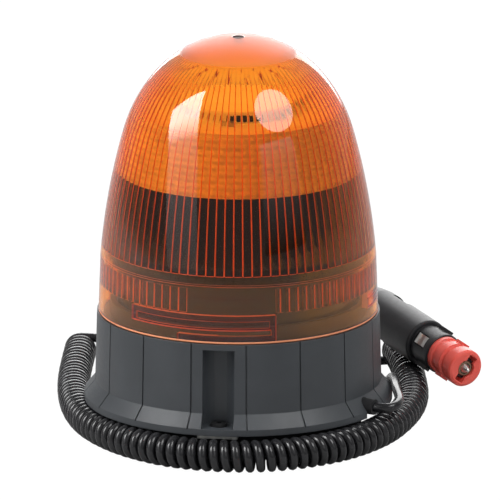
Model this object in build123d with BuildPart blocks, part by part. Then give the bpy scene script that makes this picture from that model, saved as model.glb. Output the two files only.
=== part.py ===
from build123d import *
import os
from math import atan, cos, degrees, radians, sin, sqrt, tan

# A warning lamp: a fluted amber lens on a black base with a magnet foot, a curly cord and a plug.
# Millimetres, +Z up. The origin is on the ground under the lamp's axis, and one recess faces -Y.

os.makedirs("parts", exist_ok=True)

running_gap = 0.3
seat_gap = 0.1

# Magnet foot
foot_height = 18.5
boot_radius = 67.0
boot_wall = 3.0
boot_floor = 2.5
magnet_bore_radius = 26.0
plate_thickness = 2.0
plate_radius = 69.0
plate_ear_width = 22.0
plate_ear_reach = 82.0

# Base housing
lip_radius = 84.0
lip_height = 3.6
flare_height = 7.2
wall_foot_radius = 78.0
wall_top_radius = 77.0
base_height = 49.4
base_wall = 3.0
deck_opening_radius = 52.0
skirt_radius = 69.0
groove_count = 16
groove_width = 0.8
groove_depth = 0.7
recess_count = 3
recess_width = 17.5
recess_drop = 3.3
recess_wall = 2.5
base_screw_radius = 3.0
base_screw_circle = 75.0
base_head_radius = 4.6
base_head_height = 1.8
notch_angle = -22.5
notch_half_width = 4.4
notch_axis_height = 5.6

# Bayonet between base and lens
collar_radius = 69.6
collar_wall = 3.0
collar_height = 8.0
lug_reach = 72.9
lug_arc = 22.0
lug_bottom = 4.3
lug_height = 2.2
lug_count = 3
lug_middle = 10.5
unlock_angle = 41.0

# Lens
lens_rim_radius = 76.2
lens_wall = 2.5
shoulder_radius = 75.1
shoulder_height = 31.3
shoulder_lean = 4.85
lower_arc_radius = 370.0
lower_arc_lean = 15.7
upper_arc_radius = 82.0
upper_arc_lean = 41.4
flute_count = 90
flute_depth = 0.9
flute_foot = 36.6
flute_top = 140.0
rail_depth = 3.0
lower_rail_height = 4.0
upper_rail_bottom = 6.8
upper_rail_top = 15.0
rail_stop_arc = 2.0
gate_radius = 3.4
gate_depth = 0.8

# Seal
seal_inner_radius = 73.5
seal_outer_radius = 75.6
seal_height = 2.0

# Pedestal, boards and light engine inside the lens
pedestal_clearance = 1.0
pedestal_foot_radius = 65.4
pedestal_flare_start = 20.0
pedestal_flare_end = 34.0
pedestal_top = 78.0
pedestal_wall = 2.5
pedestal_flange_height = 3.0
pedestal_screw_circle = 57.5
pedestal_screw_count = 3
board_radius = 42.0
board_thickness = 1.6
board_height = 34.0
standoff_circle = 34.0
standoff_radius = 3.5
terminal_circle = 26.0
terminal_height = 9.0
led_board_radius = 48.0
led_count = 24
led_circle = 43.0
led_size = 3.5
led_height = 1.8
engine_top = 109.2
ring_lens_wall = 5.0
cap_radius = 53.6
cap_thickness = 2.0
cap_screw_circle = 35.0
crown_radius_outside = 31.0
crown_height = 6.5
crown_wall = 1.6
vent_count = 48
vent_width = 1.9
vent_height = 4.2
vent_foot = 0.6
liner_wall = 2.0
sink_core_radius = 30.0
sink_radius = 38.0
sink_fin_count = 36
sink_fin_thickness = 2.0
sink_flange_height = 4.0
sink_core_wall = 4.0
wire_hole_circle = 20.0
wire_hole_radius = 2.4

# Screws
small_screw_radius = 1.5
small_head_radius = 2.8
small_head_height = 2.0

# Plug, measured back along its axis from the adapter's front face
plug_front = Vector(118.7, 49.9, 24.6)
plug_heading = -51.0
plug_droop = 6.9
contact_roll = 35.7
adapter_length = 24.0
adapter_radius = 10.5
adapter_bore_radius = 6.3
adapter_mouth_radius = 5.0
adapter_lobe_reach = 7.8
adapter_lobe_width = 5.6
adapter_lobe_depth = 5.0
adapter_ear_width = 6.0
adapter_ear_reach = 11.4
adapter_travel = 24.0
nose_radius = 6.0
nose_bore_radius = 4.1
nose_setback = 2.6
nose_ring_length = 2.2
ring_radius = 4.3
ring_proud = 1.6
tip_reach = 2.6
tip_cone_radius = 2.8
tip_collar_radius = 3.7
tip_travel = 2.5
barrel_radius = 11.2
barrel_wall = 2.4
barrel_end = 58.0
body_start = 41.5
body_radius = 13.0
body_end = 105.0
body_wall = 4.5
pocket_start = 70.0
pocket_length = 14.5
pocket_width = 9.0
pocket_depth = 3.0
plug_boot_length = 26.0
contact_width = 6.0
contact_start = 29.6
contact_length = 10.0
contact_travel = 1.5
window_margin = 0.5
fuse_radius = 2.6
fuse_length = 20.0
spring_radius = 3.1
spring_wire = 0.45

# Cord
cord_radius = 2.5
coil_radius = 9.0

coil_route = [
    (67.9, 143.9, 9.1),
    (76.6, 114.8, 9.1),
    (83.9, 80.5, 9.1),
    (90.7, 43.0, 9.1),
    (90.1, 9.4, 9.1),
    (82.3, -29.9, 9.1),
    (61.4, -65.8, 9.1),
    (25.6, -89.2, 9.1),
    (-17.3, -88.9, 9.1),
    (-51.3, -68.1, 9.1),
    (-74.1, -39.4, 9.1),
    (-87.0, -9.1, 9.1),
    (-95.5, 29.0, 9.1),
    (-101.2, 74.6, 9.1),
    (-104.5, 119.6, 9.1),
]
base_lead_route = [
    (86.9, -36.0, 24.1),
    (92.3, -29.4, 24.9),
    (91.3, -18.5, 25.8),
    (87.6, -4.0, 26.2),
    (84.8, 12.0, 26.0),
    (81.2, 31.5, 24.2),
    (76.5, 52.0, 17.5),
    (73.0, 73.0, 9.5),
    (65.5, 92.0, 4.7),
    (55.7, 109.0, 2.9),
    (49.5, 125.9, 2.6),
    (54.6, 140.0, 2.6),
    (68.2, 144.0, 2.6),
]
plug_lead_route = [
    (-104.5, 119.3, 15.6),
    (-88.0, 121.0, 14.5),
    (-70.0, 127.0, 8.0),
    (-48.0, 138.0, 3.0),
    (-22.0, 153.0, 2.8),
    (0.0, 166.0, 8.0),
    (13.0, 172.0, 23.0),
    (24.5, 166.5, 37.5),
]

base_top = foot_height + base_height
lens_rim = base_top + running_gap
lip_top = foot_height + lip_height
flare_top = lip_top + flare_height
lug_clearance = 0.6


def on_ring(radius, angle, height):
    """A point on a horizontal ring round the lamp's axis."""
    return Vector(radius * cos(radians(angle)), radius * sin(radians(angle)), height)


def around(part, count, first=0.0):
    """Copies of a part, evenly turned about the lamp's axis."""
    return [part.rotate(Axis.Z, first + 360 / count * i) for i in range(count)]


def sector(inner, outer, start, arc, bottom, height):
    """A ring segment standing on a horizontal plane."""
    with BuildPart() as piece:
        with BuildSketch(Plane.XY.offset(bottom)):
            with BuildLine():
                far = CenterArc((0, 0), outer, start, arc)
                near = CenterArc((0, 0), inner, start, arc)
                Line(far @ 0, near @ 0)
                Line(far @ 1, near @ 1)
            make_face()
        extrude(amount=height)
    return piece.part


def turned(points, plane=Plane.XZ, axis=Axis.Z):
    """A solid of revolution from its half outline."""
    with BuildPart() as piece:
        with BuildSketch(plane):
            with BuildLine():
                Polyline(*points, close=True)
            make_face()
        revolve(axis=axis)
    return piece.part


def rod(radius, bottom, top, at=(0, 0)):
    """An upright round bar between two heights."""
    with BuildPart() as piece:
        with BuildSketch(Plane.XY.offset(bottom)):
            with Locations(at):
                Circle(radius)
        extrude(amount=top - bottom)
    return piece.part


def small_screw(seat, reach, at):
    """A cap screw whose head stands on the seat."""
    head = rod(small_head_radius, seat, seat + small_head_height, at)
    shank = rod(small_screw_radius, seat - reach, seat, at)
    return head + shank


def cord_tube(points, radius):
    """A tube along straight runs, each corner rounded as far as its shorter run allows."""
    runs = [Vector(*b) - Vector(*a) for a, b in zip(points, points[1:])]
    radii = []
    for before, after in zip(runs, runs[1:]):
        half_turn = radians(before.get_angle(after)) / 2
        radii.append(0.45 * min(before.length, after.length) / tan(half_turn))
    print("corner radii in diameters:", [round(r / radius / 2, 1) for r in radii])
    with BuildPart() as tube:
        with BuildLine() as path:
            FilletPolyline(*points, radius=radii)
        with BuildSketch(Plane(origin=points[0], z_dir=runs[0])):
            Circle(radius)
        sweep(path=path.line, transition=Transition.ROUND)
    print("tube length %.0f mm" % path.wire().length)
    return tube.part


# The lens outline is three tangent arcs above its shoulder. Each arc keeps its centre for the inner
# wall. Heights are measured from the rim, and a lean is the wall's angle from the vertical.
lower_centre = (
    shoulder_radius - lower_arc_radius * cos(radians(shoulder_lean)),
    shoulder_height - lower_arc_radius * sin(radians(shoulder_lean)),
)
upper_centre = (
    lower_centre[0] + (lower_arc_radius - upper_arc_radius) * cos(radians(lower_arc_lean)),
    lower_centre[1] + (lower_arc_radius - upper_arc_radius) * sin(radians(lower_arc_lean)),
)
crown_radius = upper_centre[0] / cos(radians(upper_arc_lean)) + upper_arc_radius
crown_centre = (0.0, upper_centre[1] + (upper_arc_radius - crown_radius) * sin(radians(upper_arc_lean)))
lens_height = crown_centre[1] + crown_radius
lens_arcs = [
    (lower_centre, lower_arc_radius, shoulder_lean, lower_arc_lean),
    (upper_centre, upper_arc_radius, lower_arc_lean, upper_arc_lean),
    (crown_centre, crown_radius, upper_arc_lean, 90.0),
]


def lens_radius(height, inset):
    """The lens's radius at a height above its rim, on a surface a given depth inside its skin."""
    for centre, radius, start, end in lens_arcs:
        if height <= centre[1] + (radius - inset) * sin(radians(end)):
            return centre[0] + sqrt((radius - inset) ** 2 - (height - centre[1]) ** 2)


# Magnet foot: a ferrite ring in a rubber boot, held against a steel plate under the base
plate_bottom = foot_height - plate_thickness
magnet_radius = boot_radius - boot_wall - seat_gap

with BuildPart() as magnet_boot:
    with BuildSketch():
        Circle(boot_radius)
    extrude(amount=plate_bottom)
    chamfer(magnet_boot.edges().group_by(Axis.Z)[0], length=1.2)
    with BuildSketch(Plane.XY.offset(boot_floor)):
        Circle(boot_radius - boot_wall)
    extrude(amount=plate_bottom, mode=Mode.SUBTRACT)

with BuildPart() as magnet_ring:
    with BuildSketch(Plane.XY.offset(boot_floor)):
        Circle(magnet_radius)
        Circle(magnet_bore_radius, mode=Mode.SUBTRACT)
    extrude(amount=plate_bottom - boot_floor)

recess_angles = [-90 + 360 / recess_count * i for i in range(recess_count)]

with BuildPart() as pole_plate:
    with BuildSketch(Plane.XY.offset(plate_bottom)):
        Circle(plate_radius)
        for angle in recess_angles:
            with BuildSketch(Plane.XY.offset(plate_bottom).rotated((0, 0, angle)), mode=Mode.PRIVATE) as ear:
                with Locations((plate_ear_reach / 2, 0)):
                    Rectangle(plate_ear_reach, plate_ear_width)
            add(ear.sketch)
    extrude(amount=plate_thickness)
    for angle in recess_angles:
        point = on_ring(base_screw_circle, angle, foot_height)
        with Locations(point):
            Hole(base_screw_radius + seat_gap)

# Base housing: one moulding, with a hollow flare, three screw recesses and the bayonet collar
recess_radius = recess_width / 2
recess_top = base_top - recess_drop
deck_bottom = base_top - base_wall


def recess_form(half_width, back, bottom, top):
    """An upright channel with a round back, centred on the wall, opening outwards along +X."""
    with BuildPart() as form:
        with BuildSketch(Plane.XY.offset(bottom)):
            with Locations((wall_top_radius, 0)):
                Circle(back)
                with Locations((half_width, 0)):
                    Rectangle(2 * half_width, 2 * half_width)
        extrude(amount=top - bottom)
    return form.part


recess_cut = recess_form(recess_radius, recess_radius, lip_top, recess_top)
recess_shell = recess_form(recess_radius + recess_wall, recess_radius + recess_wall, foot_height, deck_bottom)

outer_outline = [
    (0, foot_height),
    (lip_radius, foot_height),
    (lip_radius, lip_top),
    (wall_foot_radius, flare_top),
    (wall_top_radius, base_top),
    (0, base_top),
]
inner_outline = [
    (0, foot_height - base_wall),
    (lip_radius - base_wall, foot_height - base_wall),
    (lip_radius - base_wall, lip_top - 1.2),
    (wall_foot_radius - base_wall, flare_top - 1.2),
    (wall_top_radius - base_wall, deck_bottom),
    (0, deck_bottom),
]
groove_outline = [
    (lip_radius - groove_depth, lip_top - groove_depth),
    (wall_foot_radius - groove_depth, flare_top),
    (wall_top_radius - groove_depth, base_top + base_wall),
    (lip_radius + base_wall, base_top + base_wall),
    (lip_radius + base_wall, lip_top - groove_depth),
]

with BuildPart() as groove_cut:
    with BuildSketch(Plane.XZ):
        with BuildLine():
            Polyline(*groove_outline, close=True)
        make_face()
    extrude(amount=groove_width / 2, both=True)

with BuildPart() as notch_cut:
    with BuildSketch(Plane.YZ.offset(skirt_radius + base_wall)):
        with Locations((0, foot_height + notch_axis_height)):
            Circle(notch_half_width)
        with Locations((0, foot_height)):
            Rectangle(2 * notch_half_width, 2 * notch_axis_height)
    extrude(amount=lip_radius)

hollow = turned(inner_outline)
for shell in around(recess_shell, recess_count, -90):
    hollow -= shell

with BuildPart() as base_housing:
    add(turned(outer_outline))
    add(hollow, mode=Mode.SUBTRACT)
    add(around(recess_cut, recess_count, -90), mode=Mode.SUBTRACT)
    for i in range(groove_count):
        angle = -90 + 360 / groove_count * (i + 0.5)
        gaps = [abs((angle - a + 180) % 360 - 180) for a in recess_angles]
        if min(gaps) > degrees(atan(recess_radius / wall_top_radius)) + 1:
            add(groove_cut.part.rotate(Axis.Z, angle), mode=Mode.SUBTRACT)
    add(notch_cut.part.rotate(Axis.Z, notch_angle), mode=Mode.SUBTRACT)
    # the skirt that the pole plate seats against, open where the cord passes
    with BuildSketch(Plane.XY.offset(foot_height)):
        Circle(skirt_radius)
        Circle(skirt_radius - base_wall, mode=Mode.SUBTRACT)
    extrude(amount=deck_bottom - foot_height)
    with BuildSketch(Plane.XY.offset(deck_bottom)):
        Circle(deck_opening_radius)
    extrude(amount=base_wall, mode=Mode.SUBTRACT)
    # bayonet collar and its lugs
    with BuildSketch(Plane.XY.offset(base_top)):
        Circle(collar_radius)
        Circle(collar_radius - collar_wall, mode=Mode.SUBTRACT)
    extrude(amount=collar_height)
    for i in range(lug_count):
        start = -90 + lug_middle - lug_arc / 2 + 360 / lug_count * i
        add(sector(collar_radius - 1, lug_reach, start, lug_arc, lens_rim + lug_bottom, lug_height))
    # seal groove, screw holes and the hole for the cord through the skirt
    with BuildSketch(Plane.XY.offset(base_top - seal_height)):
        Circle(seal_outer_radius + seat_gap)
        Circle(seal_inner_radius - seat_gap, mode=Mode.SUBTRACT)
    extrude(amount=seal_height, mode=Mode.SUBTRACT)
    for angle in recess_angles:
        with Locations(on_ring(base_screw_circle, angle, lip_top)):
            Hole(base_screw_radius + seat_gap, depth=lip_height)
    cord_way = Plane(
        origin=on_ring(skirt_radius + base_wall, notch_angle, foot_height + notch_axis_height),
        z_dir=-on_ring(1, notch_angle, 0),
    )
    with BuildSketch(cord_way):
        Circle(cord_radius + 0.5)
    extrude(amount=3 * base_wall, mode=Mode.SUBTRACT)
    for i in range(pedestal_screw_count):
        with Locations(on_ring(pedestal_screw_circle, 30 + 360 / pedestal_screw_count * i, base_top)):
            Hole(small_screw_radius + seat_gap, depth=base_wall)

with BuildPart() as base_screws:
    for angle in recess_angles:
        point = on_ring(base_screw_circle, angle, lip_top)
        with BuildSketch(Plane.XY.offset(lip_top)):
            with Locations((point.X, point.Y)):
                Circle(base_head_radius)
        extrude(amount=base_head_height)
        with BuildSketch(Plane.XY.offset(lip_top + base_head_height)):
            with Locations((point.X, point.Y)):
                RegularPolygon(1.6, 6)
        extrude(amount=0.4 - base_head_height, mode=Mode.SUBTRACT)
        with BuildSketch(Plane.XY.offset(lip_top)):
            with Locations((point.X, point.Y)):
                Circle(base_screw_radius)
        extrude(amount=plate_bottom - lip_top - 1.0)

with BuildPart() as lens_seal:
    with BuildSketch(Plane.XY.offset(base_top - seal_height)):
        Circle(seal_outer_radius)
        Circle(seal_inner_radius, mode=Mode.SUBTRACT)
    extrude(amount=seal_height)
    chamfer(lens_seal.edges().group_by(Axis.Z)[-1], length=0.4)

# Lens: a thin shell whose bore carries upright flutes, with bayonet rails by the rim
rail_inner_radius = lens_rim_radius - lens_wall - rail_depth
lower_rail_arc = lug_arc + 20.5
upper_rail_arc = lower_rail_arc + lug_arc + 2.3
rail_end = -90 + lug_middle + lug_arc / 2 + lug_clearance + rail_stop_arc


def fluted_section(height):
    """One cross-section of the fluted bore, a star with two corners for each flute."""
    valley = lens_radius(height, lens_wall)
    ridge = lens_radius(height, lens_wall + flute_depth)
    half = 180 / flute_count
    corners = []
    for i in range(flute_count):
        corners.append(on_ring(valley, 2 * half * i, 0))
        corners.append(on_ring(ridge, 2 * half * i + half, 0))
    with BuildSketch(Plane.XY.offset(lens_rim + height)) as section:
        with BuildLine():
            Polyline(*[(c.X, c.Y) for c in corners], close=True)
        make_face()
    return section.sketch


def lens_solid(inset, floor):
    """A solid of the lens's outline, a given depth inside its skin, from a floor up to the crown."""
    with BuildPart() as form:
        with BuildSketch(Plane.XZ):
            with BuildLine():
                foot = Line((0, lens_rim + floor), (lens_rim_radius - inset, lens_rim + floor))
                start = (lower_centre[0] + (lower_arc_radius - inset) * cos(radians(shoulder_lean)),
                         lens_rim + lower_centre[1] + (lower_arc_radius - inset) * sin(radians(shoulder_lean)))
                Line(foot @ 1, start)
                for centre, radius, first, last in lens_arcs:
                    top = CenterArc((centre[0], lens_rim + centre[1]), radius - inset, first, last - first)
                Line(top @ 1, foot @ 0)
            make_face()
        revolve(axis=Axis.Z)
    return form.part


flute_heights = [flute_foot + (flute_top - flute_foot) * t for t in (0, 0.25, 0.46, 0.62, 0.75, 0.85, 0.93, 1)]

with BuildPart() as fluted_bore:
    loft([fluted_section(h) for h in flute_heights], ruled=True)

with BuildPart() as crown_bore:
    add(lens_solid(lens_wall + flute_depth + 0.2, 0))
    split(bisect_by=Plane.XY.offset(lens_rim + flute_top), keep=Keep.TOP)

with BuildPart() as rim_bore:
    add(lens_solid(lens_wall - 0.2, -1.0))
    split(bisect_by=Plane.XY.offset(lens_rim + flute_foot), keep=Keep.BOTTOM)

with BuildPart() as lens_dome:
    add(lens_solid(0, 0))
    add(rim_bore.part, mode=Mode.SUBTRACT)
    add(fluted_bore.part, mode=Mode.SUBTRACT)
    add(crown_bore.part, mode=Mode.SUBTRACT)
    bead_reach = lens_radius(shoulder_height, lens_wall) - 0.8
    with BuildSketch(Plane.XY.offset(lens_rim + shoulder_height)):
        Circle(shoulder_radius - 1.0)
        Circle(bead_reach, mode=Mode.SUBTRACT)
    extrude(amount=1.0)
    for i in range(lug_count):
        end = rail_end + 360 / lug_count * i
        wall = lens_rim_radius - lens_wall + 0.6
        add(sector(rail_inner_radius, wall, end - lower_rail_arc, lower_rail_arc, lens_rim, lower_rail_height))
        add(sector(rail_inner_radius, wall - 0.3, end - upper_rail_arc, upper_rail_arc,
                   lens_rim + upper_rail_bottom, upper_rail_top - upper_rail_bottom))
        add(sector(rail_inner_radius, wall, end - rail_stop_arc, rail_stop_arc, lens_rim, upper_rail_top))
    with BuildSketch(Plane.XY.offset(lens_rim + lens_height - gate_depth)):
        Circle(gate_radius)
    extrude(amount=3 * gate_depth, mode=Mode.SUBTRACT)

# Pedestal: a glossy black tower that carries the light engine and hides the electronics
pedestal_inset = lens_wall + flute_depth + pedestal_clearance
pedestal_heights = [pedestal_flare_end + (pedestal_top - pedestal_flare_end) * t / 4 for t in range(5)]
tower = [(lens_radius(h, pedestal_inset), lens_rim + h) for h in pedestal_heights]
foot = [(pedestal_foot_radius, base_top), (pedestal_foot_radius, lens_rim + pedestal_flare_start)]
inside = [(r - pedestal_wall, z) for r, z in foot + tower]
inside[0] = (inside[0][0], base_top + pedestal_flange_height)
inside[-1] = (inside[-1][0], inside[-1][1] - pedestal_wall)
flange_bore = deck_opening_radius - 2.0
pedestal_outline = (
    [(flange_bore, base_top)] + foot + tower
    + [(0, lens_rim + pedestal_top), (0, inside[-1][1])] + inside[::-1]
    + [(flange_bore, base_top + pedestal_flange_height)]
)
pedestal_deck = lens_rim + pedestal_top
pedestal_ceiling = inside[-1][1]
screw_places = [on_ring(pedestal_screw_circle, 30 + 360 / pedestal_screw_count * i, base_top)
                for i in range(pedestal_screw_count)]

with BuildPart() as pedestal:
    add(turned(pedestal_outline))
    for place in screw_places:
        with Locations((place.X, place.Y, base_top + pedestal_flange_height)):
            Hole(small_screw_radius + seat_gap, depth=pedestal_flange_height)
    board_level = base_top + board_height
    for i in range(3):
        at = on_ring(standoff_circle, 90 + 120 * i, 0)
        add(rod(standoff_radius, board_level + board_thickness, pedestal_ceiling, (at.X, at.Y)))
    with BuildSketch(Plane.XY.offset(pedestal_deck)):
        with PolarLocations(wire_hole_circle, 2, start_angle=20):
            Circle(wire_hole_radius + 0.6)
    extrude(amount=-pedestal_wall, mode=Mode.SUBTRACT)

with BuildPart() as pedestal_screws:
    for place in screw_places:
        reach = pedestal_flange_height + base_wall + small_screw_radius
        add(small_screw(base_top + pedestal_flange_height, reach, (place.X, place.Y)))

# Driver board, hung from the pedestal's standoffs
with BuildPart() as driver_board:
    with BuildSketch(Plane.XY.offset(board_level)):
        Circle(board_radius)
        with PolarLocations(board_radius, 2, start_angle=0):
            Rectangle(6, 16, mode=Mode.SUBTRACT)
        with PolarLocations(standoff_circle, 3, start_angle=90):
            Circle(small_screw_radius + seat_gap, mode=Mode.SUBTRACT)
    extrude(amount=board_thickness)

with BuildPart() as board_screws:
    for i in range(3):
        at = on_ring(standoff_circle, 90 + 120 * i, 0)
        with BuildSketch(Plane.XY.offset(board_level)):
            with Locations((at.X, at.Y)):
                Circle(small_head_radius)
        extrude(amount=-small_head_height)
        with BuildSketch(Plane.XY.offset(board_level)):
            with Locations((at.X, at.Y)):
                Circle(small_screw_radius)
        extrude(amount=board_thickness)

board_face = board_level + board_thickness
with BuildPart() as capacitors:
    for at in ((-14, 12), (0, 18), (14, 12)):
        add(rod(5.0, board_face, board_face + 16, at))

with BuildPart() as board_chips:
    with BuildSketch(Plane.XY.offset(board_face)):
        with Locations((-16, -8), (16, -8)):
            Rectangle(12, 12)
        with Locations((0, -4)):
            Rectangle(9, 9)
        with GridLocations(8, 6, 4, 1):
            with Locations((0, -20)):
                Rectangle(4, 3)
    extrude(amount=3.2)

with BuildPart() as terminal_block:
    terminal_at = on_ring(terminal_circle, notch_angle, board_level)
    with BuildSketch(Plane(origin=terminal_at, x_dir=on_ring(1, notch_angle + 90, 0), z_dir=(0, 0, -1))):
        Rectangle(15, 9)
    extrude(amount=terminal_height)
    with BuildSketch(Plane.XY.offset(board_level - terminal_height)):
        with PolarLocations(terminal_circle, 1, start_angle=notch_angle):
            with Locations((0, 5.2), (0, -5.2)):
                Circle(1.3)
    extrude(amount=3.0, mode=Mode.SUBTRACT)

# Light engine: a ring of diodes inside a clear ring lens
led_board_top = pedestal_deck + board_thickness
with BuildPart() as led_board:
    with BuildSketch(Plane.XY.offset(pedestal_deck)):
        Circle(led_board_radius)
        Circle(12, mode=Mode.SUBTRACT)
        with PolarLocations(wire_hole_circle, 2, start_angle=20):
            Circle(wire_hole_radius, mode=Mode.SUBTRACT)
    extrude(amount=board_thickness)

with BuildPart() as leds:
    with BuildSketch(Plane.XY.offset(led_board_top)):
        with PolarLocations(led_circle, led_count):
            Rectangle(led_size, led_size)
    extrude(amount=led_height)
    chamfer(leds.edges().group_by(Axis.Z)[-1], length=0.6)

engine_ceiling = lens_rim + engine_top
ring_foot_radius = lens_radius(pedestal_top, pedestal_inset)
ring_top_radius = lens_radius(engine_top, pedestal_inset)
ring_outline = [
    (ring_foot_radius - ring_lens_wall, pedestal_deck),
    (ring_foot_radius, pedestal_deck),
    (lens_radius((pedestal_top + engine_top) / 2, pedestal_inset), (pedestal_deck + engine_ceiling) / 2),
    (ring_top_radius, engine_ceiling),
    (ring_top_radius - 2 * ring_lens_wall, engine_ceiling),
    (ring_top_radius - 3 * ring_lens_wall, engine_ceiling - 1.5 * ring_lens_wall),
    (led_circle + 5.5, led_board_top + 6),
]

with BuildPart() as ring_lens:
    add(turned(ring_outline))

# Heat sink: a finned drum between two flanges, which carries the cap over the diodes
sink_fin_foot = led_board_top + sink_flange_height
sink_fin_top = engine_ceiling - sink_flange_height
with BuildPart() as heat_sink:
    add(rod(sink_radius, led_board_top, sink_fin_foot))
    add(rod(sink_radius, sink_fin_top, engine_ceiling))
    with BuildSketch(Plane.XY.offset(sink_fin_foot)):
        Circle(sink_core_radius)
        with PolarLocations((sink_core_radius + sink_radius) / 2 - 0.5, sink_fin_count):
            Rectangle(sink_radius - sink_core_radius, sink_fin_thickness)
    extrude(amount=sink_fin_top - sink_fin_foot)
    add(rod(sink_core_radius - sink_core_wall, led_board_top, sink_fin_top), mode=Mode.SUBTRACT)
    with PolarLocations(cap_screw_circle, 3, start_angle=30):
        with Locations((0, 0, engine_ceiling)):
            Hole(small_screw_radius + seat_gap, depth=sink_flange_height)

# Cap: a white disc whose low crown has a row of small vents round its side, with a black liner behind
cap_top = engine_ceiling + cap_thickness
crown_top = cap_top + crown_height
crown_bore_radius = crown_radius_outside - crown_wall

with BuildPart() as vent_cut:
    with BuildSketch(Plane.XZ.offset(crown_bore_radius - crown_wall)):
        with Locations((0, cap_top + vent_foot + vent_height / 2)):
            SlotOverall(vent_height, vent_width, rotation=90)
    extrude(amount=3 * crown_wall)

with BuildPart() as engine_cap:
    add(rod(cap_radius, engine_ceiling, cap_top))
    add(rod(crown_radius_outside, cap_top, crown_top))
    chamfer(engine_cap.edges().group_by(Axis.Z)[-1], length=0.5 * crown_wall)
    add(rod(crown_bore_radius, engine_ceiling, crown_top - crown_wall), mode=Mode.SUBTRACT)
    add(around(vent_cut.part, vent_count), mode=Mode.SUBTRACT)
    with PolarLocations(cap_screw_circle, 3, start_angle=30):
        with Locations((0, 0, cap_top)):
            Hole(small_screw_radius + seat_gap, depth=cap_thickness)

with BuildPart() as vent_liner:
    add(rod(crown_bore_radius - running_gap, engine_ceiling, crown_top - crown_wall - running_gap))
    add(rod(crown_bore_radius - running_gap - liner_wall, engine_ceiling, crown_top), mode=Mode.SUBTRACT)

with BuildPart() as cap_screws:
    for i in range(3):
        at = on_ring(cap_screw_circle, 30 + 120 * i, 0)
        add(small_screw(cap_top, cap_thickness + sink_flange_height - running_gap, (at.X, at.Y)))

# Cord exit: a rubber grommet in the notch under the flare
exit_out = on_ring(1, notch_angle, 0)
exit_height = foot_height + notch_axis_height
exit_reach = 86.0
exit_plane = Plane(origin=on_ring(exit_reach, notch_angle, exit_height), z_dir=exit_out)
grommet_inner = skirt_radius + base_wall + 0.5
grommet_flange = 2.0

with BuildPart() as cord_grommet:
    with BuildSketch(exit_plane):
        Circle(notch_half_width - seat_gap)
    extrude(amount=-(exit_reach - grommet_inner))
    with BuildSketch(exit_plane.offset(grommet_inner - exit_reach)):
        Circle(notch_half_width + 1.2)
    extrude(amount=grommet_flange)
    with BuildSketch(exit_plane):
        Circle(cord_radius + 0.05)
    extrude(amount=-(exit_reach - grommet_inner), mode=Mode.SUBTRACT)

# The cord's inner end, from the grommet through the skirt to the terminal block
inner_start = on_ring(exit_reach, notch_angle, exit_height)
inner_route = [
    tuple(inner_start),
    tuple(on_ring(58, notch_angle, exit_height)),
    tuple(on_ring(38, notch_angle, exit_height + 8)),
    tuple(on_ring(29, notch_angle, exit_height + 28)),
    tuple(on_ring(terminal_circle, notch_angle, exit_height + 50)),
    tuple(on_ring(terminal_circle, notch_angle, board_level - terminal_height)),
]

with BuildPart() as cord_tail:
    add(cord_tube(inner_route, cord_radius))

# Plug: stations are measured back from the adapter's front face along the plug's axis
pitch = radians(plug_droop)
turn = radians(plug_heading)
roll = radians(contact_roll)
plug_out = Vector(cos(pitch) * cos(turn), cos(pitch) * sin(turn), -sin(pitch))
side = Vector(sin(turn), -cos(turn), 0)
up = side.cross(plug_out)
contact_out = side * cos(roll) + up * sin(roll)
plug_axis = Axis(plug_front, plug_out)
profile_plane = Plane(origin=plug_front, x_dir=-plug_out, z_dir=(-plug_out).cross(contact_out))
face_plane = Plane(origin=plug_front, x_dir=contact_out, z_dir=plug_out)


def plug_turned(points):
    """A solid turned about the plug's axis, from points of station and radius."""
    return turned(points, profile_plane, plug_axis)


with BuildPart() as adapter_sleeve:
    add(plug_turned([
        (0, adapter_mouth_radius), (0, adapter_radius - 1.6), (0.5, adapter_radius - 0.5),
        (1.4, adapter_radius), (7.6, adapter_radius), (8.4, adapter_radius - 0.8),
        (8.8, adapter_radius - 1.8), (11.4, adapter_radius - 1.8), (12.2, adapter_radius - 0.3),
        (16.6, adapter_radius - 0.3), (17.4, adapter_radius - 1.2), (20.5, adapter_radius - 1.2),
        (21.2, adapter_radius - 0.2), (adapter_length - running_gap, adapter_radius - 0.2),
        (adapter_length - running_gap, adapter_bore_radius),
        (nose_setback - running_gap, adapter_bore_radius), (nose_setback - running_gap, adapter_mouth_radius),
    ]))
    # two lobes in the mouth that key the sleeve
    with BuildSketch(face_plane):
        Rectangle(adapter_lobe_width, 2 * adapter_lobe_reach)
    extrude(amount=-adapter_lobe_depth, mode=Mode.SUBTRACT)
    # ears on the second ring, in line with the lobes
    with BuildSketch(face_plane.offset(-12.2)):
        Rectangle(adapter_ear_width, 2 * adapter_ear_reach)
        Circle(adapter_radius - 1.5, mode=Mode.SUBTRACT)
    extrude(amount=-5.0)

nose_flange_start = adapter_length + barrel_wall
with BuildPart() as plug_nose:
    add(plug_turned([
        (nose_setback, ring_radius + 0.05), (nose_setback, nose_radius - 0.5), (nose_setback + 0.5, nose_radius),
        (nose_flange_start, nose_radius), (nose_flange_start, nose_radius + 2.4),
        (nose_flange_start + 2.0, nose_radius + 2.4), (nose_flange_start + 2.0, nose_bore_radius),
        (nose_setback + nose_ring_length, nose_bore_radius), (nose_setback + nose_ring_length, ring_radius + 0.05),
    ]))

with BuildPart() as nose_ring:
    add(plug_turned([
        (nose_setback - ring_proud, tip_cone_radius + 0.3), (nose_setback - ring_proud, ring_radius - 0.4),
        (nose_setback - ring_proud + 0.4, ring_radius), (nose_setback + nose_ring_length, ring_radius),
        (nose_setback + nose_ring_length, tip_cone_radius + 0.3),
    ]))

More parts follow.
